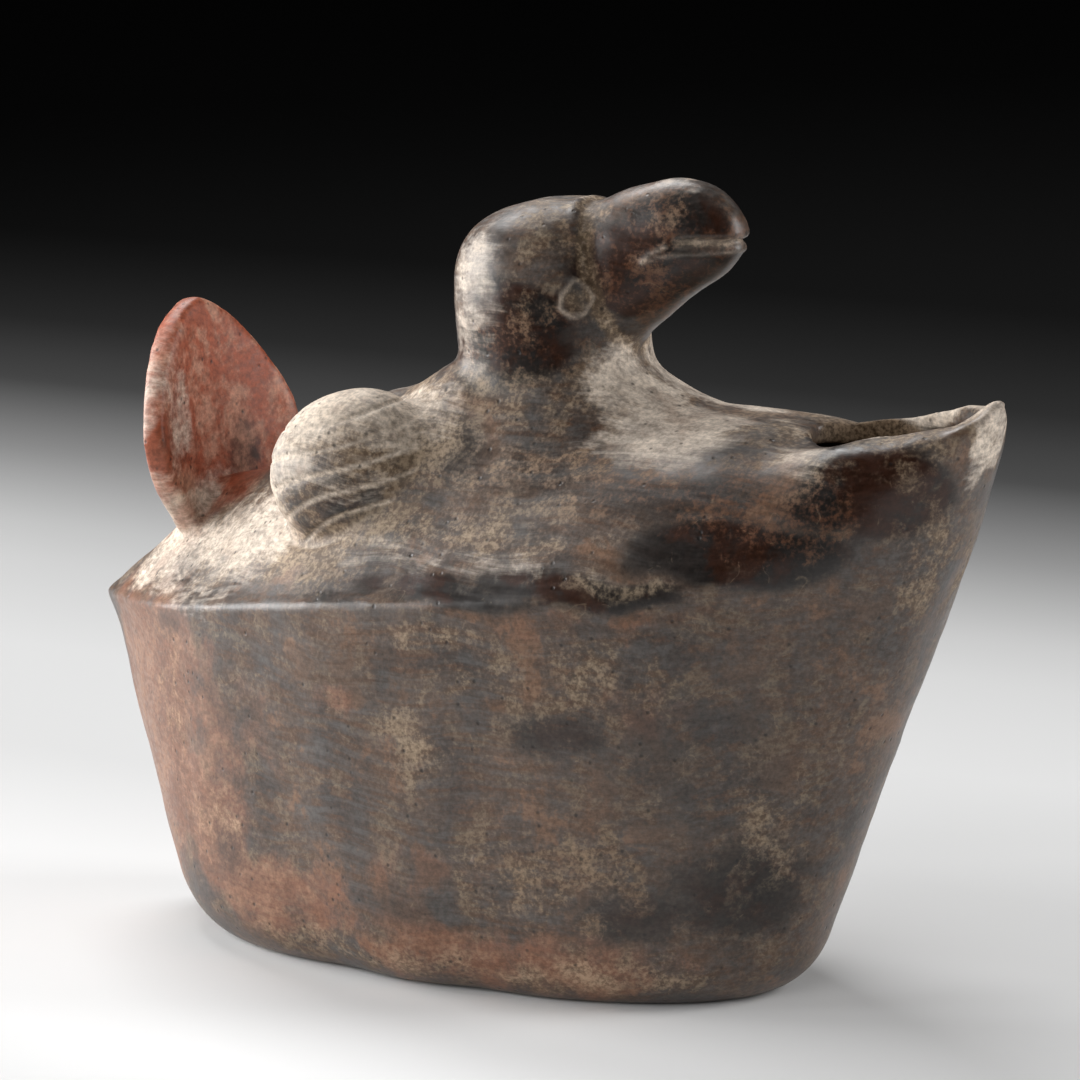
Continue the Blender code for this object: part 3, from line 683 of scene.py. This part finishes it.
TAN_PATCHES = (
    ((-18, -34, 136), (32, 24, 22), 1.0), ((-34, -44, 117), (18, 16, 14), 0.85),
    ((-22, -30, 146), (34, 34, 10), 0.85), ((-30, -46, 106), (34, 22, 12), 0.75),
    ((-62, -30, 104), (34, 30, 16), 0.72), ((-95, -8, 95), (34, 26, 15), 0.7),
    ((14, -24, 147), (26, 18, 8), 0.55), ((42, -12, 148), (20, 18, 11), 0.6),
    ((62, -6, 142), (30, 16, 8), 0.5), ((92, -14, 143), (22, 20, 8), 0.62),
    # The first patch here, down the prow's edge, is partly tan and partly painted highlight.
    ((139, -3, 145), (5, 8, 14), 0.6), ((126, -17, 141), (20, 12, 9), 0.5),
    ((0, -48, 116), (26, 18, 10), 0.5), ((30, -46, 116), (40, 14, 7), 0.46),
    ((64, -50, 108.5), (30, 10, 2.8), 0.55), ((22, -57, 92), (24, 10, 5), 0.35),
    ((66, -50, 88), (22, 12, 14), 0.36), ((14, -56, 64), (9, 10, 14), 0.42),
    ((100, -34, 44), (16, 20, 26), 0.42), ((70, -44, 8), (46, 24, 8), 0.55),
    ((0, -50, 8), (60, 24, 7), 0.4), ((-74, -34, 62), (12, 16, 22), 0.32),
    ((-54, -46, 34), (18, 14, 16), 0.33), ((30, -18, 182), (9, 10, 12), 0.4),
    ((36.4, -17.6, 170.8), (4.5, 6, 5.5), 0.7), ((128, -10, 118), (8, 14, 26), 0.42),
    ((50, -48, 34), (34, 14, 18), 0.34), ((-90, 0, 106), (16, 34, 8), 0.75),
    ((24, -9, 190), (18, 14, 8), 0.6), ((12, -20, 176), (14, 12, 14), 0.32),
    ((40, -54, 84), (26, 10, 14), 0.26), ((22, -20, 170), (12, 14, 14), 0.3),
    ((106, -30, 138), (26, 16, 8), 0.42), ((58, -9, 190), (22, 12, 12), 0.22),
    ((128, -17, 143), (20, 9, 5), 0.7), ((30, -34, 132), (40, 24, 16), 0.3),
)
# The pale film is partly real and partly painted highlights and sheen: on the head, the crown, the back
# beside the neck, the beak's top, the prow's edge, the wings, the tail and the rear shoulder.
PALE_FILM_AND_HIGHLIGHT_PATCHES = (
    ((-90, -18, 97), (34, 26, 12), 0.9), ((-20, -34, 142), (30, 22, 15), 1.1),
    ((7, -24, 172), (12, 14, 26), 0.7), ((20, -8, 190), (20, 18, 9), 0.3),
    ((64, -26, 140), (25, 15, 9), 1.15), ((48, -10, 150), (20, 13, 13), 1.1),
    ((62, -14, 142), (22, 14, 9), 1.15), ((141, -3, 142), (4, 6, 18), 0.9),
    ((-34, -42, 128), (14, 16, 18), 0.95), ((-36, -42, 117), (14, 14, 12), 0.6),
    ((-4, -30, 146), (16, 12, 8), 0.7), ((100, -26, 139), (18, 12, 8), 0.35),
    ((54, -3, 199), (22, 7, 3.5), 0.4), ((-90, -22, 132), (12, 12, 36), 0.6),
    ((-88, -10, 106), (14, 26, 13), 1.3), ((-62, -30, 104), (38, 26, 15), 0.95),
    ((-62, -42, 91), (28, 14, 7), 0.55), ((-14, -46, 130), (20, 12, 14), 0.5),
    ((0, -50, 108), (34, 12, 5), 0.4), ((40, -52, 111), (30, 12, 4), 0.35),
    ((88, -14, 144), (20, 14, 6), 0.4), ((-40, 0, 134), (40, 24, 12), 0.6),
)
FLECK_PATCHES = (
    ((96, -34, 126), (32, 24, 14), 0.8), ((60, -30, 130), (36, 24, 12), 0.6),
    ((52, -8, 182), (30, 16, 22), 0.75), ((20, -22, 160), (24, 22, 16), 0.6),
    ((66, -8, 143), (26, 12, 6), 0.9), ((28, -34, 130), (22, 18, 10), 0.5),
    ((55, -50, 30), (30, 20, 30), 0.35), ((72, 0, 185), (5, 8, 9), 1.0), ((50, -4, 168), (16, 8, 8), 0.7),
)
MASKS = {"red": RED_PATCHES, "brick": BRICK_PATCHES, "dark": DARK_PATCHES, "tan": TAN_PATCHES,
         "pale": PALE_FILM_AND_HIGHLIGHT_PATCHES, "flecks": FLECK_PATCHES}
FAR_SIDE_SHIFT = 9.0
# Where sediment stayed in a line: beside the beak's base, and along the mouth's rim.
HEAD_BAND = ((27, 0, 193), (30, -5, 191.5), (33.5, -11, 187), (35.5, -14.5, 181), (37.5, -15.5, 175),
             (39.5, -14, 168), (41.5, -10, 162), (42, -3, 157))
MOUTH_RIM = ((97, 0, 143), (100, -8, 143.5), (108, -12.5, 143.5), (118, -13.5, 145), (128, -11, 148.5),
             (136, -5, 151), (140, 0, 152))
# Painted shade in the throat of the mouth.
THROAT_SHADE = ((103, 8, 138.5), (17, 11, 7.5))
# The tail lies behind this x and above this z, and both its sides are stained in their own way.
TAIL_BEHIND = -78
TAIL_ABOVE = 102


def patches(places, listed):
    """The strongest of several patches at each place."""
    total = np.zeros(len(places))
    for centre, radii, amount in listed:
        total = np.maximum(total, amount * within(places, centre, radii))
    return total


def stain(vessel):
    """Keeps on the mesh where each finish lies."""
    mesh = vessel.data
    places, _ = mesh_arrays(mesh)
    x, y, z = places.T
    near_side = np.stack([x, -np.abs(y), z], axis=1)
    folded = near_side + np.outer(FAR_SIDE_SHIFT * ease_in(y, 4, 30), (1, 0, 0))
    on_tail = (x < TAIL_BEHIND) & (z > TAIL_ABOVE)
    folded = np.where(on_tail[:, None], places, folded)
    wobble = 3.2 * hand_marks(places, 16, 20, 17)
    folded = folded + np.outer(wobble, (1, 0, 0.35))
    masks = {name: patches(folded, listed) for name, listed in MASKS.items()}
    band, _ = to_line(near_side, HEAD_BAND)
    rim, _ = to_line(near_side, MOUTH_RIM)
    masks["tan"] = np.maximum.reduce([masks["tan"], 1.05 * ridge(band, 2.4), 1.1 * ridge(rim, 3.6)])
    masks["pale"] = np.maximum.reduce([masks["pale"], 0.5 * ridge(band, 1.6), 0.95 * ridge(rim, 2.6)])
    # The cavity's walls are painted dark as painted shade, darker further down, and so is the throat.
    inside = 1 - outer_share(places)
    throat_shade = np.clip(2.6 * within(places, *THROAT_SHADE), 0, 0.95) * (y > -8)
    masks["inside"] = np.maximum(inside * (0.35 + 0.65 * ease_in(z, 146, 134)), throat_shade)
    for name, values in masks.items():
        keep_mask(mesh, name, values)


class Finish:
    """A few words for building a shader tree."""

    def __init__(self, tree):
        self.tree = tree

    def node(self, kind, inputs=None, **settings):
        made = self.tree.nodes.new("ShaderNode" + kind)
        for name, value in settings.items():
            setattr(made, name, value)
        for name, value in (inputs or {}).items():
            self.feed(made.inputs[name], value)
        return made

    def feed(self, socket, value):
        if isinstance(value, bpy.types.NodeSocket):
            self.tree.links.new(value, socket)
        else:
            socket.default_value = value

    def math(self, operation, *values, clamp=False):
        return self.node("Math", dict(enumerate(values)), operation=operation, use_clamp=clamp).outputs[0]

    def times(self, first, second):
        return self.math("MULTIPLY", first, second)

    def mix(self, share, first, second):
        return self.node("Mix", {0: share, 6: first, 7: second}, data_type="RGBA").outputs[2]

    def noise(self, vector, scale, detail=2.0, roughness=0.5, distortion=0.0):
        return self.node("TexNoise", {"Vector": vector, "Scale": scale, "Detail": detail,
                                      "Roughness": roughness, "Distortion": distortion}).outputs["Fac"]

    def fit(self, value, low, high, to_low=0.0, to_high=1.0):
        made = self.node("MapRange", {"Value": value, "From Min": low, "From Max": high, "To Min": to_low,
                                      "To Max": to_high}, interpolation_type="SMOOTHSTEP")
        return made.outputs["Result"]

    def even(self, noise):
        """A noise spread evenly from 0 to 1."""
        return self.fit(noise, 0.29, 0.71)

    def placed(self, vector, scale=(1.0, 1.0, 1.0), shift=(0.0, 0.0, 0.0)):
        return self.node("Mapping", {"Vector": vector, "Scale": scale, "Location": shift}).outputs["Vector"]

    def mask(self, name):
        return self.node("Attribute", attribute_name=name).outputs["Fac"]

    def group(self, tree, **inputs):
        made = self.tree.nodes.new("ShaderNodeGroup")
        made.node_tree = tree
        for name, value in inputs.items():
            self.feed(made.inputs[name], value)
        return made.outputs[0]


def new_group(name, inputs, output):
    """An empty node group with named inputs and one output, and the words to fill it."""
    tree = bpy.data.node_groups.new(name, "ShaderNodeTree")
    for socket, kind in inputs.items():
        tree.interface.new_socket(socket, in_out="INPUT", socket_type="NodeSocket" + kind)
    tree.interface.new_socket(output, in_out="OUTPUT", socket_type="NodeSocketFloat")
    given = tree.nodes.new("NodeGroupInput").outputs
    result = tree.nodes.new("NodeGroupOutput").inputs[0]
    return tree, Finish(tree), given, result


def ragged_cover():
    """Where a finish covers this share of an evenly spread noise, with a soft or hard edge."""
    inputs = {"Noise": "Float", "Amount": "Float", "Edge": "Float"}
    tree, finish, given, result = new_group("ragged cover", inputs, "Cover")
    over = finish.math("SUBTRACT", finish.math("ADD", given["Noise"], given["Amount"]), 1.0)
    half = finish.times(given["Edge"], 0.5)
    ranged = finish.fit(over, finish.times(half, -1.0), half)
    present = finish.fit(given["Amount"], 0.02, 0.2)
    finish.feed(result, finish.times(ranged, present))
    return tree


def burnish_strokes():
    """Fine parallel strokes of the burnishing stone, along X."""
    inputs = {"Vector": "Vector", "Across": "Float"}
    tree, finish, given, result = new_group("burnish strokes", inputs, "Strokes")
    bend = finish.times(finish.noise(given["Vector"], 24.0, 1.0), 0.014)
    rise = finish.node("CombineXYZ", {"Z": bend}).outputs[0]
    sway = finish.node("VectorMath", {0: given["Vector"], 1: rise}).outputs[0]
    fine = finish.placed(sway, (0.06, 0.55, 1.0))
    finish.feed(result, finish.even(finish.noise(fine, given["Across"], 3.0, 0.7)))
    return tree


def root_marks():
    """Thin wandering lines, where a noise passes its middle."""
    inputs = {"Vector": "Vector", "Scale": "Float", "Width": "Float"}
    tree, finish, given, result = new_group("root marks", inputs, "Marks")
    wander = finish.noise(given["Vector"], given["Scale"], 2.0, 0.5, 0.2)
    off = finish.math("ABSOLUTE", finish.math("SUBTRACT", wander, 0.5))
    finish.feed(result, finish.fit(off, 0.0, given["Width"], 1.0, 0.0))
    return tree


def small_pits():
    """Scattered small pits, deepest in the middle."""
    inputs = {"Vector": "Vector", "Scale": "Float", "Amount": "Float"}
    tree, finish, given, result = new_group("small pits", inputs, "Pits")
    cells = finish.node("TexVoronoi", {"Vector": given["Vector"], "Scale": given["Scale"]})
    chosen = finish.node("SeparateColor", {"Color": cells.outputs["Color"]}).outputs[0]
    few = finish.math("LESS_THAN", chosen, given["Amount"])
    bowl = finish.fit(cells.outputs["Distance"], 0.06, 0.32, 1.0, 0.0)
    finish.feed(result, finish.times(bowl, few))
    return tree


# The clay's colours, as linear values.
SLATE = (0.066, 0.053, 0.047, 1)
GREY_BROWN = (0.13, 0.088, 0.065, 1)
BLUE_GREY = (0.085, 0.09, 0.09, 1)
OLIVE = (0.15, 0.125, 0.09, 1)
WARM_BROWN = (0.15, 0.078, 0.046, 1)
ORANGE_BROWN = (0.24, 0.125, 0.068, 1)
SALMON = (0.31, 0.16, 0.1, 1)
CLAY_RED = (0.19, 0.085, 0.05, 1)
BRICK = (0.34, 0.085, 0.04, 1)
BRICK_PALE = (0.5, 0.24, 0.16, 1)
SMOKE_BROWN = (0.03, 0.0095, 0.004, 1)
SMOKE_BLACK = (0.013, 0.0115, 0.011, 1)
SLATE_DARK = (0.04, 0.04, 0.038, 1)
RUST = (0.15, 0.062, 0.03, 1)
TAN = (0.44, 0.33, 0.22, 1)
TAN_DARK = (0.21, 0.145, 0.092, 1)
CREAM = (0.72, 0.62, 0.52, 1)
# Painted shade for the inside of the vessel.
INSIDE_SHADE_BROWN = (0.045, 0.026, 0.012, 1)
CLAY_SHEEN = 0.4


def worn_burnished_clay():
    """Burnished clay with red and smoked clouds, worn flecks, tan deposits, a pale film that is partly
    painted highlights and sheen, and an inside painted dark as painted shade.
    """
    cover = ragged_cover()
    material = bpy.data.materials.new("worn_burnished_clay")
    material.use_nodes = True
    finish = Finish(material.node_tree)
    shader = material.node_tree.nodes["Principled BSDF"]
    place = finish.node("TexCoord").outputs["Object"]
    hollow = finish.fit(finish.mask("hollow"), 0.56, 1.0)
    proud = finish.fit(finish.mask("hollow"), 0.42, 0.1)
    carved, inside = finish.mask("carved"), finish.mask("inside")

    blotches = finish.even(finish.noise(place, 50.0, 7.0, 0.64, 0.3))
    patchy = finish.even(finish.noise(finish.placed(place, shift=(3.1, 1.7, 5.3)), 118.0, 7.0, 0.66, 0.25))
    fine = finish.even(finish.noise(place, 780.0, 2.0, 0.7))
    strokes = finish.group(burnish_strokes(), Vector=place, Across=560.0)
    pits = finish.group(small_pits(), Vector=place, Scale=430.0, Amount=0.14)
    marks = finish.group(root_marks(), Vector=place, Scale=80.0, Width=0.01)
    unpatchy = finish.math("SUBTRACT", 1.0, patchy)
    speckle = finish.math("MULTIPLY_ADD", fine, 0.2, finish.times(patchy, 0.8))
    mottle = finish.math("MULTIPLY_ADD", blotches, 0.5, finish.times(unpatchy, 0.5))
    streaky = finish.math("MULTIPLY_ADD", strokes, 0.5, finish.times(unpatchy, 0.5))

    colour = finish.mix(blotches, SLATE, GREY_BROWN)
    colour = finish.mix(finish.times(finish.fit(streaky, 0.5, 0.85), 0.4), colour, BLUE_GREY)
    colour = finish.mix(finish.times(finish.fit(streaky, 0.5, 0.2), 0.65), colour, WARM_BROWN)
    colour = finish.mix(finish.times(finish.fit(speckle, 0.5, 0.95), 0.45), colour, OLIVE)
    colour = finish.mix(finish.times(finish.fit(mottle, 0.58, 0.8), 0.5), colour, ORANGE_BROWN)

    red = finish.group(cover, Noise=finish.math("MULTIPLY_ADD", streaky, 0.35, finish.times(blotches, 0.65)),
                       Amount=finish.mask("red"), Edge=0.6)
    reds = finish.mix(finish.fit(streaky, 0.3, 0.7), SALMON, CLAY_RED)
    colour = finish.mix(finish.times(red, 0.8), colour, reds)
    brick = finish.mask("brick")
    colour = finish.mix(brick, colour, finish.mix(finish.fit(mottle, 0.2, 0.6), BRICK_PALE, BRICK))

    deep = finish.mask("dark")
    cloudy = finish.math("MULTIPLY_ADD", blotches, 0.45, finish.times(unpatchy, 0.55))
    dark = finish.group(cover, Noise=cloudy, Amount=deep, Edge=0.75)
    smoke = finish.mix(finish.fit(blotches, 0.35, 0.7), SMOKE_BROWN, SMOKE_BLACK)
    smoke = finish.mix(finish.fit(deep, 0.3, 1.0), SLATE_DARK, smoke)
    colour = finish.mix(finish.times(dark, finish.fit(deep, 0.2, 0.9, 0.55, 0.95)), colour, smoke)

    flecks = finish.group(cover, Noise=finish.math("MULTIPLY_ADD", fine, 0.3, finish.times(speckle, 0.7)),
                          Amount=finish.times(finish.mask("flecks"), 0.62), Edge=0.5)
    colour = finish.mix(finish.times(flecks, 0.5), colour, RUST)

    deposit = finish.mask("tan")
    dusty = finish.math("MULTIPLY_ADD", hollow, 0.4, deposit)
    dusty = finish.math("MULTIPLY_ADD", carved, 0.8, dusty)
    dusty = finish.math("ADD", dusty, 0.12)
    dusty = finish.math("MULTIPLY_ADD", proud, -0.25, dusty, clamp=True)
    tan = finish.group(cover, Noise=speckle, Amount=dusty, Edge=0.75)
    thick = finish.math("MULTIPLY_ADD", finish.math("MAXIMUM", deposit, carved), 0.72, 0.14)
    grain = finish.math("MULTIPLY_ADD", fine, 0.5, finish.times(blotches, 0.5))
    grit = finish.mix(finish.fit(grain, 0.25, 0.75), TAN_DARK, TAN)
    colour = finish.mix(finish.times(tan, thick), colour, grit)
    colour = finish.mix(finish.times(carved, finish.math("MULTIPLY_ADD", patchy, 0.5, 0.25)), colour, CREAM)

    pale = finish.group(cover, Noise=finish.math("MULTIPLY_ADD", strokes, 0.3, finish.times(blotches, 0.7)),
                        Amount=finish.mask("pale"), Edge=0.8)
    # The pale film, with its painted highlights and sheen, mixed towards cream.
    film_and_highlight = finish.times(pale, finish.math("MULTIPLY_ADD", patchy, 0.5, 0.4))
    colour = finish.mix(film_and_highlight, colour, CREAM)

    lines = finish.times(marks, finish.fit(patchy, 0.55, 0.75))
    colour = finish.mix(finish.times(lines, 0.14), colour, TAN)
    shade = finish.math("MULTIPLY_ADD", fine, 0.42, finish.math("MULTIPLY_ADD", strokes, 0.34, 0.55))
    colour = finish.node("VectorMath", {0: colour, "Scale": shade}, operation="SCALE").outputs[0]
    colour = finish.mix(finish.times(pits, 0.7), colour, SMOKE_BLACK)
    # The inside is painted dark brown as painted shade.
    colour = finish.mix(inside, colour, finish.mix(fine, INSIDE_SHADE_BROWN, TAN_DARK))
    finish.feed(shader.inputs["Base Color"], colour)

    rough = finish.math("MULTIPLY_ADD", strokes, 0.12, 0.33)
    rough = finish.math("MULTIPLY_ADD", tan, 0.24, rough)
    rough = finish.math("MULTIPLY_ADD", pale, 0.14, rough)
    rough = finish.math("MULTIPLY_ADD", dark, -0.05, rough)
    rough = finish.math("MULTIPLY_ADD", brick, 0.1, rough)
    rough = finish.math("MAXIMUM", rough, finish.times(inside, 0.9), clamp=True)
    finish.feed(shader.inputs["Roughness"], rough)
    shader.inputs["Specular IOR Level"].default_value = CLAY_SHEEN

    height = finish.times(finish.noise(place, 520.0, 2.0, 0.65), 0.05)
    height = finish.math("MULTIPLY_ADD", pits, -0.1, height)
    height = finish.math("MULTIPLY_ADD", strokes, 0.014, height)
    bump = finish.node("Bump", {"Strength": 1.0, "Distance": MM, "Height": height})
    finish.feed(shader.inputs["Normal"], bump.outputs["Normal"])
    return material


# The floor's painted pool of light, as its paleness at distances behind the vessel, in metres: painted
# bright round it and painted dark far behind.
FLOOR_LIGHT_POOL = ((-1.0, 0.03), (-0.5, 0.06), (-0.3, 0.35), (-0.12, 0.84), (0.0, 0.75), (0.11, 0.64),
               (0.23, 0.67), (0.35, 0.6), (0.41, 0.53), (0.54, 0.28), (0.69, 0.077), (0.76, 0.062),
               (0.85, 0.034), (1.14, 0.012), (2.0, 0.03))
FLOOR_SPAN = 3.0
FLOOR_RADIUS = 8.0
# The floor is painted darker to the left, as painted shade, from this x to this x, in metres.
LEFT_SHADE_FROM, LEFT_SHADE_TO = -0.45, 0.1
LEFT_SHADE_TONE = 0.7


def pale_floor():
    """A plain pale floor, painted bright round the vessel as a pool of light, painted dark far behind it,
    and painted darker to the left as shade.
    """
    slab = bmesh.new()
    bmesh.ops.create_circle(slab, cap_ends=True, segments=128, radius=FLOOR_RADIUS)
    floor = new_object("floor", slab)
    material = bpy.data.materials.new("pale_floor")
    material.use_nodes = True
    finish = Finish(material.node_tree)
    place = finish.node("TexCoord").outputs["Object"]
    # The floor's colour paints the pool of light round the vessel and the dark behind it.
    back = finish.node("SeparateXYZ", {0: place}).outputs["Y"]
    along = finish.math("MULTIPLY_ADD", back, 1 / FLOOR_SPAN, 1 / FLOOR_SPAN)
    ramp = finish.node("ValToRGB", {"Fac": along})
    stops = ramp.color_ramp.elements
    while len(stops) < len(FLOOR_LIGHT_POOL):
        stops.new(1.0)
    for stop, (at, tone) in zip(stops, FLOOR_LIGHT_POOL):
        stop.position = (at + 1) / FLOOR_SPAN
        stop.color = (tone, tone, tone, 1)
    shader = material.node_tree.nodes["Principled BSDF"]
    # Painted shade darkens the floor towards the left.
    side = finish.node("SeparateXYZ", {0: place}).outputs["X"]
    left_shade = finish.fit(side, LEFT_SHADE_FROM, LEFT_SHADE_TO, LEFT_SHADE_TONE, 1.0)
    grey = finish.node("VectorMath", {0: ramp.outputs["Color"], "Scale": left_shade}, operation="SCALE").outputs[0]
    finish.feed(shader.inputs["Base Color"], grey)
    shader.inputs["Roughness"].default_value = 0.9
    shader.inputs["Specular IOR Level"].default_value = 0.1
    floor.data.materials.append(material)


def softbox(name, place, aim, size, energy, seen=True):
    """A soft light that looks at a point, seen in the clay's sheen or not."""
    data = bpy.data.lights.new(name, "AREA")
    data.shape = "RECTANGLE"
    data.size, data.size_y = size
    data.energy = energy
    light = bpy.data.objects.new(name, data)
    light.location = place
    light.rotation_euler = (Vector(aim) - Vector(place)).to_track_quat("-Z", "Y").to_euler()
    light.visible_glossy = seen
    bpy.context.scene.collection.objects.link(light)


CAMERA_PLACE = Vector((0.656, -0.988, 0.325))
CAMERA_AIM = Vector((0.0131, 0.0014, 0.106))
# The lens and the sensor's width, in millimetres.
LENS = 160
SENSOR_WIDTH = 36


def camera():
    """A long lens about 1.2 m away, as in the photograph."""
    data = bpy.data.cameras.new("camera")
    data.lens = LENS
    data.sensor_width = SENSOR_WIDTH
    made = bpy.data.objects.new("camera", data)
    made.location = CAMERA_PLACE
    made.rotation_euler = (CAMERA_AIM - CAMERA_PLACE).to_track_quat("-Z", "Y").to_euler()
    bpy.context.scene.collection.objects.link(made)
    bpy.context.scene.camera = made


ROOM_GREY = (0.012, 0.012, 0.012, 1)


def lights():
    """A dim room with softboxes at the left, right and overhead, and a fill beside the camera."""
    world = bpy.data.worlds.new("dim room")
    world.use_nodes = True
    world.node_tree.nodes["Background"].inputs["Color"].default_value = ROOM_GREY
    bpy.context.scene.world = world
    middle = (0.0, 0.0, 0.09)
    softbox("softbox left", (-1.05, -0.3, 0.4), middle, (0.7, 0.66), 16)
    softbox("strip front left", (-0.76, -0.82, 0.3), middle, (0.28, 0.8), 5)
    softbox("softbox overhead", (-0.62, 0.42, 1.1), middle, (0.6, 0.6), 11)
    softbox("softbox right", (1.0, 0.55, 0.5), middle, (0.4, 0.8), 9.5)
    softbox("front fill", (0.2, -1.6, 0.8), middle, (1.4, 1.0), 12, seen=False)


vessel = raw_vessel()
soften(vessel, NECK_ROOT, NECK_ROUNDS)
soften(vessel, EDGES, EDGE_ROUNDS)
carve(vessel)
thin_out(vessel)
stain(vessel)
vessel.data.shade_smooth()
vessel.data.materials.clear()
vessel.data.materials.append(worn_burnished_clay())
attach(vessel, "root")
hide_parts("parrot_vessel")
pale_floor()
camera()
lights()
bpy.context.scene.view_settings.view_transform = "Standard"
